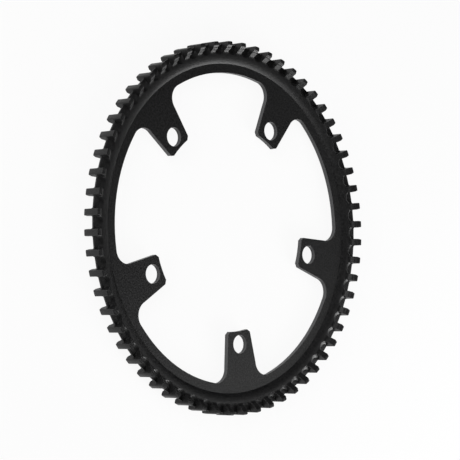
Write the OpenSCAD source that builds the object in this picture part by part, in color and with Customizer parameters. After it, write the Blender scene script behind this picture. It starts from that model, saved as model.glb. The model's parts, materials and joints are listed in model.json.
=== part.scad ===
// Belt drive sprocket for a bicycle crank, machined from one plate of aluminium.
// It lies flat: its axis is Z, the face that is seen when it is fitted looks up (+Z),
// and the origin is on the axis, in the middle plane of the belt.

/* [Belt] */
// Number of teeth
tooth_count = 60; // [55:1:66]
// Distance from belt tooth to belt tooth along the pitch line
belt_pitch = 11; // [10.8:0.1:11.6]
// Height of the belt's pitch line above the tooth tips
pitch_line_rise = 1.15; // [0.6:0.05:1.6]
// Length of a tooth along the axis
tooth_length = 10.9; // [9.8:0.1:13]

/* [Teeth] */
// Width of a tooth at its tip
top_land = 2.85; // [2.4:0.05:3.3]
// Width of the tooth where its flank runs into the root
tooth_waist = 3.9; // [3.7:0.05:4.4]
// Height of a flank, from the waist to the tip
flank_height = 2.65; // [2.2:0.05:3]
// Height of the rounding at the tip of a flank
tip_round = 0.5; // [0.3:0.05:0.8]
// Chamfer round the ends of a tooth at its tip
tip_chamfer = 0.3; // [0.1:0.05:0.5]

/* [Centre fin] */
// Fall of the fin's crest below the tooth tips
fin_drop = 1.6; // [1.2:0.05:2]
// Thickness of the fin
fin_t = 1; // [0.6:0.05:1.6]
// Radius between the fin's crest and the tooth flanks
fin_corner = 0.9; // [0.5:0.05:1.1]

/* [Mud ports] */
// Slope of the port's floor, which falls from the shoulder of the rim to the fin
port_slope = 25.5; // [22:0.5:34]
// Distance of the foot of that slope from the tooth tips
port_reach = 4.9; // [4.6:0.1:5.3]
// Radius of the round floor of a port, across the slope
port_bend = 6.8; // [5.5:0.1:8]

/* [Rim] */
// Width of the raised rim, from the flat plate to the tooth tips
rim_width = 12.1; // [11.4:0.1:13]
// Distance from the tooth tips to where the shoulder of the rim is level
shoulder_reach = 6.9; // [6.6:0.1:7.4]
// Height of the level shoulder above the middle plane
shoulder_z = 1.6; // [1.4:0.05:2.2]
// Radius of the hollow between the shoulder and the buttress of a tooth
hollow_r = 2.4; // [2:0.1:2.6]
// Distance from the tooth tips to the lip on top of the buttress
lip_reach = 3.8; // [3.6:0.05:4]
// Height of the lip above the middle plane
lip_z = 4.1; // [3.9:0.05:4.3]
// Width of the small step on top of the lip
step_width = 0.5; // [0.3:0.05:0.6]
// Rise of that step
step_rise = 0.15; // [0.05:0.05:0.3]
// Radial width of the bevel between the step and the end face of a tooth
bevel_width = 1.15; // [0.8:0.05:1.4]

/* [Plate and arms] */
// Thickness of the plate and its arms
plate_t = 2.7; // [2.4:0.1:3.2]
// Radial width of the flat plate, from the windows to the rim
plate_band = 5.05; // [4:0.05:8]
// Number of arms
arm_count = 5; // [4:1:6]
// Angle between the two edges of an arm
arm_angle = 16.8; // [15:0.2:20]
// Width of the cut corners at the end of an arm
arm_corner = 1.7; // [0.8:0.1:2.4]
// Radius of the fillet between an arm and the plate
arm_fillet = 8; // [5:0.5:10]
// Diameter of the circle through the bolt holes
bolt_circle_d = 130; // [128:1:134]
// Diameter of the bolt holes
bolt_hole_d = 10.4; // [9.8:0.1:11]
// Wall between a bolt hole and the end of its arm
arm_end_wall = 2.05; // [1.5:0.05:3]

/* [Hidden] */
$fn = 96;
lap = 0.05;
clear = 1;
hollow_turn = 55;
shoulder_steps = 8;
hollow_steps = 5;
plate_top = 0;
plate_bottom = plate_top - plate_t;
tip_r = tooth_count * belt_pitch / (2 * PI) - pitch_line_rise;
tooth_top = tooth_length / 2;
rim_r = tip_r - rim_width;
shoulder_r = tip_r - shoulder_reach;
lip_r = tip_r - lip_reach;
bevel_r = lip_r + step_width + bevel_width;
fin_r = tip_r - fin_drop;
ring_inner_r = rim_r - plate_band;
arm_end_r = bolt_circle_d / 2 - bolt_hole_d / 2 - arm_end_wall;
port_foot_r = tip_r - port_reach;
tooth_step = 360 / tooth_count;
arm_step = 360 / arm_count;
waist_r = tip_r - flank_height;
waist_gap_y = (2 * PI * waist_r / tooth_count - tooth_waist) / 2;
tip_gap_y = (2 * PI * tip_r / tooth_count - top_land) / 2;

// A quarter bend: points on a circle round [x, y], from angle a to angle b
function bend(x, y, r, a, b, steps) =
    [for (i = [0:steps]) let (t = a + (b - a) * i / steps) [x + r * cos(t), y + r * sin(t)]];

// Radius of the convex shoulder, which starts at the plate and ends level
shoulder_rise = shoulder_z - plate_top;
shoulder_run = shoulder_r - rim_r;
shoulder_bend = (pow(shoulder_run, 2) + pow(shoulder_rise, 2)) / (2 * shoulder_rise);
shoulder_turn = asin(shoulder_run / shoulder_bend);

// The hollow ends in a straight slope that reaches the lip
function hollow_start(level) =
    lip_r - hollow_r * sin(hollow_turn)
    - (lip_z - level - hollow_r * (1 - cos(hollow_turn))) / tan(hollow_turn);

// Outline of one half of the rim above a level, from the hollow to the tooth tip
function rim_outline(level) = concat(
    bend(hollow_start(level), level + hollow_r, hollow_r, -90, hollow_turn - 90, hollow_steps),
    [
        [lip_r, lip_z],
        [lip_r + step_width, lip_z + step_rise],
        [bevel_r, tooth_top],
        [tip_r - tip_chamfer, tooth_top],
        [tip_r, tooth_top - tip_chamfer]
    ]
);

// Section of the turned blank: plate, shoulder and rim, with the teeth still solid
module blank_section() {
    upper = concat(
        [[arm_end_r, plate_top]],
        bend(shoulder_r, shoulder_z - shoulder_bend, shoulder_bend, 90 + shoulder_turn, 90, shoulder_steps),
        rim_outline(shoulder_z)
    );
    lower = rim_outline(-plate_bottom);
    count = len(lower) - 1;
    polygon(concat(
        upper,
        [for (i = [0:count]) [lower[count - i][0], -lower[count - i][1]]],
        [[arm_end_r, plate_bottom]]
    ));
}

// The space for one belt tooth, seen along the axis and opening along +X
module gap_outline() {
    polygon([
        [shoulder_r - port_bend, -waist_gap_y],
        [waist_r, -waist_gap_y],
        [tip_r - tip_round, -(tip_gap_y + waist_gap_y) / 2],
        [tip_r + lap, -tip_gap_y - tip_round / 2],
        [tip_r + clear, -tip_gap_y - tip_round / 2],
        [tip_r + clear, tip_gap_y + tip_round / 2],
        [tip_r + lap, tip_gap_y + tip_round / 2],
        [tip_r - tip_round, (tip_gap_y + waist_gap_y) / 2],
        [waist_r, waist_gap_y],
        [shoulder_r - port_bend, waist_gap_y]
    ]);
}

// The same space as a cutter: on each face its inner end runs out as a sloping, round-floored port
module gap_cutter() {
    intersection() {
        translate([0, 0, -tooth_top - clear])
            linear_extrude(2 * (tooth_top + clear)) gap_outline();
        for (face = [0, 1])
            mirror([0, 0, face])
                translate([port_foot_r, 0, fin_t / 2])
                    rotate([0, 90 + port_slope, 0])
                        translate([-port_bend, 0, -port_bend])
                            cylinder(r = port_bend, h = port_bend + tooth_length);
    }
}

// The thin ring that joins the teeth across every space. The mud ports end on it,
// and between two teeth it is cut down to its crest.
module fin_outline() {
    corner_r = fin_r + fin_corner;
    corner_y = waist_gap_y - fin_corner + 2 * lap;
    difference() {
        circle(r = corner_r, $fn = 360);
        circle(r = port_foot_r - clear, $fn = 360);
        for (i = [0:tooth_count - 1])
            rotate(90 + tooth_step * i) {
                for (side = [-1, 1])
                    translate([corner_r, side * corner_y]) circle(r = fin_corner);
                translate([fin_r, -corner_y]) square([fin_drop + clear, 2 * corner_y]);
            }
    }
}

// One window between two arms, on the +X side
module window_outline() {
    half = (arm_step - arm_angle) / 2;
    fillet_at = ring_inner_r - arm_fillet + lap;
    fillet_turn = asin((arm_fillet - lap) / fillet_at);
    edge = half - fillet_turn;
    reach = ring_inner_r / cos(edge) + clear;
    intersection() {
        circle(r = ring_inner_r, $fn = 360);
        polygon([[0, 0], reach * [cos(edge), -sin(edge)], reach * [cos(edge), sin(edge)]]);
    }
    polygon([
        [0, 0],
        fillet_at * cos(fillet_turn) * [cos(half), -sin(half)],
        fillet_at * [cos(edge), -sin(edge)],
        fillet_at * [cos(edge), sin(edge)],
        fillet_at * cos(fillet_turn) * [cos(half), sin(half)]
    ]);
    for (side = [-1, 1])
        translate(fillet_at * [cos(edge), side * sin(edge)]) circle(r = arm_fillet);
    for (side = [-1, 1]) {
        a = side * half;
        corner = arm_end_r * [cos(a), sin(a)];
        along = arm_corner * [cos(a), sin(a)];
        across = side * arm_corner * [-sin(a), cos(a)];
        polygon([corner - along, corner + along, corner + across, corner - across - along]);
    }
}

module belt_sprocket() {
    color("#26272a")
    union() {
        difference() {
            rotate_extrude($fn = 360) blank_section();
            for (i = [0:arm_count - 1])
                rotate(90 + arm_step * (i + 0.5))
                    translate([0, 0, plate_bottom - clear])
                        linear_extrude(plate_t + 2 * clear) window_outline();
            for (i = [0:arm_count - 1])
                rotate(90 + arm_step * i)
                    translate([bolt_circle_d / 2, 0, plate_bottom - clear])
                        cylinder(d = bolt_hole_d, h = plate_t + 2 * clear);
            for (i = [0:tooth_count - 1])
                rotate(90 + tooth_step * i) gap_cutter();
        }
        translate([0, 0, -fin_t / 2])
            linear_extrude(fin_t) fin_outline();
    }
}

belt_sprocket();
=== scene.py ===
import json
from math import cos, radians, sin

import bpy
from bpy.props import FloatProperty, FloatVectorProperty, PointerProperty
from mathutils import Matrix, Vector

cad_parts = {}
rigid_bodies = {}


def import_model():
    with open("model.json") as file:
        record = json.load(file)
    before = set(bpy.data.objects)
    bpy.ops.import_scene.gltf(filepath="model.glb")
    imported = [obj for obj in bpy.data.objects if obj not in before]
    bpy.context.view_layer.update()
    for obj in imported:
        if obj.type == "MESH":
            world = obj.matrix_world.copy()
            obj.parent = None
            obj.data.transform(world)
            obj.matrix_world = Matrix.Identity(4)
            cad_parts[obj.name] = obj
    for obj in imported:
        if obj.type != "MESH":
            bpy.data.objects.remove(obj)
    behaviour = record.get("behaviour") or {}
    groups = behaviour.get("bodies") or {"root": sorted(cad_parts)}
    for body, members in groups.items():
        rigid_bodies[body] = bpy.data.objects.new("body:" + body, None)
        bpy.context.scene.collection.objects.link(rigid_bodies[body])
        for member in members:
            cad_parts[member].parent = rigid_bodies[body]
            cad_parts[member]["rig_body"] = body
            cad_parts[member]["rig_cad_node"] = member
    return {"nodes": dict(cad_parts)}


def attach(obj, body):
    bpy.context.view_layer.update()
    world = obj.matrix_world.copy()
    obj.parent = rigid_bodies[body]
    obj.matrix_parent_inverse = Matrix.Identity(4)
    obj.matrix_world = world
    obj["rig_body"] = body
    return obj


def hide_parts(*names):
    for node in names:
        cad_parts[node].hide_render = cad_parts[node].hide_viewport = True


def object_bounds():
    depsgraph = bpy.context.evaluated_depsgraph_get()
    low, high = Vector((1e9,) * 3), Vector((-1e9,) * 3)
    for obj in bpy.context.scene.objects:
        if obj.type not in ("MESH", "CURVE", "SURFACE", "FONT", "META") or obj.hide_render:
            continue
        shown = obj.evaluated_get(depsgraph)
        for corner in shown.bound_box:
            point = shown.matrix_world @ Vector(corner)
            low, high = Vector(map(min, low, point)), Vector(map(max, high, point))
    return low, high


bl_info = {
    "name": "Belt Drive Sprocket",
    "version": (1, 0, 0),
    "blender": (4, 2, 0),
    "location": "View3D > Sidebar > Sprocket",
    "description": "Black anodised belt sprocket with broken edges, and its studio",
    "category": "Object",
}

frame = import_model()
cad_low, cad_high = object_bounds()

BODY_NODE = "belt_sprocket"
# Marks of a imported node, which its dressed copy doesn't keep
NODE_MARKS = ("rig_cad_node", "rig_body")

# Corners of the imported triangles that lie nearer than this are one
MERGE_DISTANCE = 1e-6
# Faces that meet flatter than this are one plane
FLAT_ANGLE = radians(0.1)
# Faces that meet sharper than this are shaded apart
CREASE_ANGLE = radians(25)
# Edges sharper than this are broken, apart from those of the thin centre fin
SHARP_ANGLE = radians(38)

# Zones of the face are set by their depth below this radius, about that of the tooth tips
TIP_RADIUS = cad_high.x
# The centre fin lies above this depth and within this height of the middle plane
FIN_DEPTH = 0.0083
FIN_HALF = 0.00055
# Depths between which the plate's blasted grain dies down on the rim, and by how much
RIM_DEPTHS = (0.0123, 0.0078)
RIM_SMOOTHING = 0.65
# Depths just outside the windows, and how far a wall or broken edge there faces up; deeper
# in, such walls and broken edges get a painted highlight, a lighter colour standing in for
# the reflections they catch
WINDOW_DEPTHS = (0.0169, 0.0166)
WALL_FACING = (0.55, 0.90)

# Octaves and roughness of the grain's noise, and its stretch, so that specks stand out
GRAIN_DETAIL = 2
GRAIN_HARSHNESS = 0.7
GRAIN_CONTRAST = 3.6
# Size and octaves of the faint clouds that blasting by hand leaves
CLOUD_SIZE = 0.03
CLOUD_DETAIL = 3
# How much the clouds and the specks vary the roughness
CLOUD_ROUGHNESS = 0.06
SPECK_ROUGHNESS = 0.10
OXIDE_IOR = 1.5

WHITE = (1, 1, 1, 1)
PAPER_COLOUR = (0.9, 0.9, 0.9, 1)
# The floor is a square this wide, and lies this far under the sprocket
FLOOR_SIZE = 8
FLOOR_GAP = 0.0001

# Millimetres for the sensor, metres for the distances between which the camera sees
SENSOR_WIDTH = 36
CLIP_NEAR = 0.05
CLIP_FAR = 50

# The picture's right, seen from above, lies this far round from the frame's X axis
PICTURE_TURN = radians(29.662)
# Distance and side in metres of the studio's soft boxes, of the narrow box that adds
# the highlight on the shoulder, and of the small cards that stand near
SOFT_BOX = (1.6, 0.75)
NARROW_BOX = (1.6, 0.35)
NEAR_CARD = (0.45, 0.25)
# Each light: name, bearing round the picture from its right and height, both in
# degrees, distance and side, power in watts
LIGHTS = (
    ("upper_left_strip", 150, 12, SOFT_BOX, 11.6),
    ("left_strip", 180, 12, SOFT_BOX, 10.9),
    ("lower_left_strip", 210, 12, SOFT_BOX, 6.0),
    ("lower_strip", 300, 12, SOFT_BOX, 10.0),
    ("lower_right_strip", 330, 12, SOFT_BOX, 6.3),
    ("right_fill", 0, 38, SOFT_BOX, 0.7),
    ("upper_left_fill", 135, 38, SOFT_BOX, 6.0),
    ("lower_right_fill", 315, 38, SOFT_BOX, 2.5),
    ("top_fill", 72, 64, SOFT_BOX, 0.6),
    ("lower_glint", 318, 18, NARROW_BOX, 5.0),
    ("near_card", 330, 20, NEAR_CARD, 0.4),
    ("near_card_high", 315, 50, NEAR_CARD, 0.26),
)


class Value:
    """A number that varies over a surface; sums on it become Math nodes."""

    def __init__(self, finish, socket):
        self.finish = finish
        self.socket = socket

    def __add__(self, other):
        return self.finish.maths("ADD", self, other)

    __radd__ = __add__

    def __sub__(self, other):
        return self.finish.maths("SUBTRACT", self, other)

    def __rsub__(self, other):
        return self.finish.maths("SUBTRACT", other, self)

    def __mul__(self, other):
        return self.finish.maths("MULTIPLY", self, other)

    __rmul__ = __mul__

    def clamped(self):
        """Held between 0 and 1."""
        return self.finish.maths("ADD", self, 0, clamp=True)

    def larger(self, other):
        return self.finish.maths("MAXIMUM", self, other)


class Finish:
    """A node tree being filled in, for a material or the world."""

    def __init__(self, tree):
        self.tree = tree
        tree.nodes.clear()

    def node(self, kind, settings=None, inputs=None):
        """Adds a node: its settings first, then the values or links of its sockets."""
        made = self.tree.nodes.new(kind)
        for name, setting in (settings or {}).items():
            setattr(made, name, setting)
        for name, given in (inputs or {}).items():
            socket = made.inputs[name]
            if isinstance(given, Value):
                given = given.socket
            if isinstance(given, bpy.types.NodeSocket):
                self.tree.links.new(given, socket)
            else:
                socket.default_value = given
        return made

    def maths(self, operation, *numbers, clamp=False):
        """Adds a Math node on values, sockets and plain numbers."""
        made = self.node(
            "ShaderNodeMath",
            {"operation": operation, "use_clamp": clamp},
            dict(enumerate(numbers)),
        )
        return Value(self, made.outputs[0])

    def noise(self, point, size, detail, harshness=0.5):
        """Even noise from 0 to 1 whose cells are about size metres across."""
        made = self.node(
            "ShaderNodeTexNoise",
            {"noise_dimensions": "3D"},
            {
                "Vector": point,
                "Scale": 1 / size,
                "Detail": detail,
                "Roughness": harshness,
            },
        )
        return Value(self, made.outputs["Fac"])

    def from_axis(self, point):
        """Distance of a point from the sprocket's axis."""
        flat = self.node(
            "ShaderNodeVectorMath",
            {"operation": "MULTIPLY"},
            {0: point, 1: (1, 1, 0)},
        )
        made = self.node(
            "ShaderNodeVectorMath", {"operation": "LENGTH"}, {0: flat.outputs[0]}
        )
        return Value(self, made.outputs["Value"])

    def facing_up(self, normal):
        """How far a surface faces up or down: 1 on the plate, 0 on an upright wall."""
        parts = self.node("ShaderNodeSeparateXYZ", None, {0: normal})
        return self.maths("ABSOLUTE", parts.outputs["Z"])

    def ramp(self, value, start, stop):
        """Goes from 0 at start to 1 at stop, either way round, and is level outside."""
        made = self.node(
            "ShaderNodeMapRange",
            {"clamp": True},
            {"Value": value, "From Min": start, "From Max": stop},
        )
        return Value(self, made.outputs["Result"])

    def mix(self, share, first, second):
        """Blends two colours, each a plain one or a node's."""
        made = self.node("ShaderNodeMix", {"data_type": "RGBA"}, {0: share})
        for name, colour in (("A_Color", first), ("B_Color", second)):
            socket = next(i for i in made.inputs if i.identifier == name)
            if isinstance(colour, bpy.types.NodeSocket):
                self.tree.links.new(colour, socket)
            else:
                socket.default_value = (*colour, 1)
        return next(o for o in made.outputs if o.identifier == "Result_Color")


def new_material(name):
    """An empty material and the finish that fills it in."""
    material = bpy.data.materials.new(name)
    material.use_nodes = True
    return material, Finish(material.node_tree)


class BodySettings(bpy.types.PropertyGroup):
    """Sizes and colours of the sprocket's edges and finish"""

    edge_break: FloatProperty(
        name="Edge Break",
        description="Width of the tumbled chamfer along every sharp edge",
        default=0.00012,
        min=0,
        max=0.0003,
        precision=5,
        unit="LENGTH",
    )
    colour: FloatVectorProperty(
        name="Anodised Colour",
        description="Dyed oxide on the blasted aluminium",
        default=(0.0008, 0.0008, 0.0008),
        min=0,
        max=1,
        subtype="COLOR",
    )
    sheen_colour: FloatVectorProperty(
        name="Lighter Speck Colour",
        description="Colour of the lighter specks between the blast marks",
        default=(0.0175, 0.0175, 0.018),
        min=0,
        max=1,
        subtype="COLOR",
    )
    # Painted highlight: a lighter colour on the upright walls and broken edges of the
    # windows and holes, in place of the reflections they catch
    painted_wall_highlight: FloatVectorProperty(
        name="Painted Wall Highlight",
        description="Lighter cut walls and broken edges of the windows and holes",
        default=(0.055, 0.055, 0.056),
        min=0,
        max=1,
        subtype="COLOR",
    )
    roughness: FloatProperty(
        name="Roughness",
        description="Roughness of the blasted surface",
        default=0.4,
        min=0,
        max=1,
        subtype="FACTOR",
    )
    gloss: FloatProperty(
        name="Gloss",
        description="Strength of the reflection from the sealed oxide",
        default=0.27,
        min=0,
        max=1,
        subtype="FACTOR",
    )
    grain: FloatProperty(
        name="Blast Grain",
        description="Size of one mark that the glass beads leave",
        default=0.0009,
        min=0.00005,
        max=0.002,
        precision=5,
        unit="LENGTH",
    )
    grain_depth: FloatProperty(
        name="Grain Depth",
        description="Height of the blasted texture",
        default=0.00004,
        min=0,
        max=0.0002,
        precision=6,
        unit="LENGTH",
    )


class StageSettings(bpy.types.PropertyGroup):
    """Camera, floor and light"""

    camera_place: FloatVectorProperty(
        name="Camera Place",
        description="Where the camera stands",
        default=(-0.683716, -0.458775, 0.817610),
        subtype="TRANSLATION",
        unit="LENGTH",
    )
    camera_aim: FloatVectorProperty(
        name="Camera Aim",
        description="Direction that the back of the camera faces",
        default=(-0.589394, -0.394454, 0.704997),
        subtype="DIRECTION",
    )
    camera_up: FloatVectorProperty(
        name="Camera Up",
        description="Direction that is up in the picture",
        default=(-0.525680, 0.849918, 0.036058),
        subtype="DIRECTION",
    )
    lens: FloatProperty(
        name="Lens",
        description="Focal length on a 36 mm wide sensor, in millimetres",
        default=163.028,
        min=10,
        max=400,
    )
    floor_white: FloatProperty(
        name="Floor White",
        description="How far the floor shows plain white instead of its own shading",
        default=0.92,
        min=0,
        max=1,
        subtype="FACTOR",
    )
    floor_glow: FloatProperty(
        name="Floor in Reflections",
        description="How far reflections show the floor plain white",
        default=0.8,
        min=0,
        max=1,
        subtype="FACTOR",
    )
    room_light: FloatProperty(
        name="Room Light",
        description="Even light from all round, as a share of plain white",
        default=0.0,
        min=0,
        max=1,
        subtype="FACTOR",
    )


def body_finish(settings):
    """Black anodised aluminium, bead blasted, with a lighter colour painted on the cut
    walls and broken edges of the windows and holes as a highlight.
    """
    material, finish = new_material("Black anodised blasted aluminium")
    place = finish.node("ShaderNodeTexCoord").outputs
    point, normal = place["Object"], place["Normal"]
    depth = TIP_RADIUS - finish.from_axis(point)

    fine = finish.noise(point, settings.grain, GRAIN_DETAIL, GRAIN_HARSHNESS)
    blasted = 1 - finish.ramp(depth, *RIM_DEPTHS) * RIM_SMOOTHING
    speck = ((fine - 0.5) * GRAIN_CONTRAST * blasted + 0.5).clamped()
    cloud = finish.noise(point, CLOUD_SIZE, CLOUD_DETAIL)
    unevenness = (cloud - 0.5) * CLOUD_ROUGHNESS + (speck - 0.5) * SPECK_ROUGHNESS

    # Mask of the painted highlight: upright walls and broken edges deeper than the window
    # depths
    upright = 1 - finish.ramp(finish.facing_up(normal), *WALL_FACING)
    wall = upright * (1 - finish.ramp(depth, *WINDOW_DEPTHS))
    oxide = finish.mix(speck, settings.colour, settings.sheen_colour)
    bump = finish.node(
        "ShaderNodeBump", None, {"Distance": settings.grain_depth, "Height": speck}
    )
    surface = finish.node(
        "ShaderNodeBsdfPrincipled",
        None,
        {
            "Base Color": finish.mix(wall, oxide, settings.painted_wall_highlight),
            "Roughness": unevenness + settings.roughness,
            "Metallic": 0.0,
            "Specular IOR Level": settings.gloss,
            "IOR": OXIDE_IOR,
            "Normal": bump.outputs["Normal"],
        },
    )
    finish.node("ShaderNodeOutputMaterial", None, {"Surface": surface.outputs["BSDF"]})
    return material


def dressed_copy(context, node, name):
    """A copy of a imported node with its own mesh, left selected and active."""
    bpy.ops.object.select_all(action="DESELECT")
    body = node.copy()
    body.data = node.data.copy()
    body.name = name
    body.parent = None
    for mark in NODE_MARKS:
        del body[mark]
    context.scene.collection.objects.link(body)
    context.view_layer.objects.active = body
    body.select_set(True)
    return body


def merge_triangles():
    """Merges the loose triangles of the active object into whole flat faces."""
    bpy.ops.object.mode_set(mode="EDIT")
    bpy.ops.mesh.select_all(action="SELECT")
    bpy.ops.mesh.remove_doubles(threshold=MERGE_DISTANCE)
    bpy.ops.mesh.customdata_custom_splitnormals_clear()
    bpy.ops.mesh.dissolve_limited(angle_limit=FLAT_ANGLE, delimit=set())
    bpy.ops.object.mode_set(mode="OBJECT")


def on_fin(place):
    """Whether a point lies on the thin ring that joins the teeth."""
    return abs(place.z) < FIN_HALF and place.xy.length > TIP_RADIUS - FIN_DEPTH


def break_edges(body, width):
    """Cuts a narrow chamfer along the active body's sharp edges, apart from the fin's."""
    bpy.ops.object.mode_set(mode="EDIT")
    bpy.ops.mesh.select_all(action="DESELECT")
    bpy.ops.mesh.select_mode(type="EDGE")
    bpy.ops.mesh.edges_select_sharp(sharpness=SHARP_ANGLE)
    bpy.ops.object.mode_set(mode="OBJECT")
    corners = body.data.vertices
    for edge in body.data.edges:
        if edge.select and all(on_fin(corners[i].co) for i in edge.vertices):
            edge.select = False
    bpy.ops.object.mode_set(mode="EDIT")
    bpy.ops.transform.edge_bevelweight(value=1)
    bpy.ops.object.mode_set(mode="OBJECT")
    chamfer = body.modifiers.new("edge break", "BEVEL")
    chamfer.width = width
    chamfer.segments = 1
    chamfer.limit_method = "WEIGHT"
    chamfer.use_clamp_overlap = False
    bpy.ops.object.modifier_apply(modifier=chamfer.name)


class SPROCKET_OT_body(bpy.types.Operator):
    """Dress the sprocket: broken edges, smooth curved faces and the anodised finish"""

    bl_idname = "sprocket.body"
    bl_label = "Sprocket Body"

    def execute(self, context):
        settings = context.scene.sprocket_body
        body = dressed_copy(context, frame["nodes"][BODY_NODE], "sprocket_body")
        merge_triangles()
        break_edges(body, settings.edge_break)
        bpy.ops.object.shade_smooth_by_angle(angle=CREASE_ANGLE)
        body.data.materials.clear()
        body.data.materials.append(body_finish(settings))
        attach(body, "root")
        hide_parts(BODY_NODE)
        return {"FINISHED"}


def floor_finish(settings):
    """Pale paper that the camera and the reflections see as plain white."""
    material, finish = new_material("Pale floor paper")
    rays = finish.node("ShaderNodeLightPath").outputs
    seen = Value(finish, rays["Is Camera Ray"]) * settings.floor_white
    for ray in ("Is Glossy Ray", "Is Transmission Ray"):
        seen = seen.larger(Value(finish, rays[ray]) * settings.floor_glow)
    paper = finish.node("ShaderNodeBsdfDiffuse", None, {"Color": PAPER_COLOUR})
    white = finish.node("ShaderNodeEmission", None, {"Color": WHITE, "Strength": 1.0})
    mixed = finish.node(
        "ShaderNodeMixShader",
        None,
        {0: seen, 1: paper.outputs[0], 2: white.outputs[0]},
    )
    finish.node("ShaderNodeOutputMaterial", None, {"Surface": mixed.outputs[0]})
    return material


def add_floor(context, settings):
    """A wide sheet of paper under the sprocket."""
    bpy.ops.mesh.primitive_plane_add(
        size=FLOOR_SIZE, location=(0, 0, cad_low.z - FLOOR_GAP)
    )
    floor = context.object
    floor.name = "floor"
    floor.data.materials.append(floor_finish(settings))


def add_light(context, name, bearing, height, box, power):
    """A square area light that faces the sprocket."""
    distance, side = box
    turn = radians(bearing) + PICTURE_TURN
    rise = radians(height)
    towards = Vector((cos(rise) * cos(turn), cos(rise) * sin(turn), sin(rise)))
    bpy.ops.object.light_add(
        type="AREA",
        location=towards * distance,
        rotation=towards.to_track_quat("Z", "Y").to_euler(),
    )
    lamp = context.object
    lamp.name = name
    lamp.data.shape = "SQUARE"
    lamp.data.size = side
    lamp.data.energy = power


def set_room(context, settings):
    """A room that the camera sees as plain white and that adds the even room light."""
    world = bpy.data.worlds.new("Studio")
    context.scene.world = world
    world.use_nodes = True
    room = Finish(world.node_tree)
    rays = room.node("ShaderNodeLightPath").outputs
    dim, white = (
        room.node("ShaderNodeBackground", None, {"Color": WHITE, "Strength": strength})
        for strength in (settings.room_light, 1.0)
    )
    mixed = room.node(
        "ShaderNodeMixShader",
        None,
        {0: rays["Is Camera Ray"], 1: dim.outputs[0], 2: white.outputs[0]},
    )
    room.node("ShaderNodeOutputWorld", None, {"Surface": mixed.outputs[0]})


def add_camera(context, settings):
    """The camera, in the photograph's place and turned as it was."""
    aim = Vector(settings.camera_aim).normalized()
    across = Vector(settings.camera_up).cross(aim).normalized()
    turned = Matrix((across, aim.cross(across), aim)).transposed()
    camera_data = bpy.data.cameras.new("camera")
    camera = bpy.data.objects.new("camera", camera_data)
    context.scene.collection.objects.link(camera)
    camera.matrix_world = Matrix.Translation(settings.camera_place) @ turned.to_4x4()
    camera_data.sensor_width = SENSOR_WIDTH
    camera_data.lens = settings.lens
    camera_data.clip_start = CLIP_NEAR
    camera_data.clip_end = CLIP_FAR
    context.scene.camera = camera


class SPROCKET_OT_stage(bpy.types.Operator):
    """Set up the floor, the soft studio light and the camera"""

    bl_idname = "sprocket.stage"
    bl_label = "Studio"

    def execute(self, context):
        settings = context.scene.sprocket_stage
        bpy.ops.object.select_all(action="DESELECT")
        add_floor(context, settings)
        for light in LIGHTS:
            add_light(context, *light)
        set_room(context, settings)
        add_camera(context, settings)
        context.scene.view_settings.view_transform = "Standard"
        return {"FINISHED"}


class SPROCKET_PT_panel(bpy.types.Panel):
    """The sprocket's pieces and its studio"""

    bl_label = "Belt Drive Sprocket"
    bl_idname = "SPROCKET_PT_panel"
    bl_space_type = "VIEW_3D"
    bl_region_type = "UI"
    bl_category = "Sprocket"

    def draw(self, context):
        layout = self.layout
        for group, operator in (
            (context.scene.sprocket_body, SPROCKET_OT_body),
            (context.scene.sprocket_stage, SPROCKET_OT_stage),
        ):
            for name in group.bl_rna.properties.keys():
                if name not in {"rna_type", "name"}:
                    layout.prop(group, name)
            layout.operator(operator.bl_idname)


CLASSES = (
    BodySettings,
    StageSettings,
    SPROCKET_OT_body,
    SPROCKET_OT_stage,
    SPROCKET_PT_panel,
)


def register():
    for kind in CLASSES:
        bpy.utils.register_class(kind)
    bpy.types.Scene.sprocket_body = PointerProperty(type=BodySettings)
    bpy.types.Scene.sprocket_stage = PointerProperty(type=StageSettings)


def unregister():
    del bpy.types.Scene.sprocket_stage
    del bpy.types.Scene.sprocket_body
    for kind in reversed(CLASSES):
        bpy.utils.unregister_class(kind)


def main():
    """Builds the scene."""
    register()
    bpy.ops.sprocket.body()
    bpy.ops.sprocket.stage()


if __name__ == "__main__":
    main()
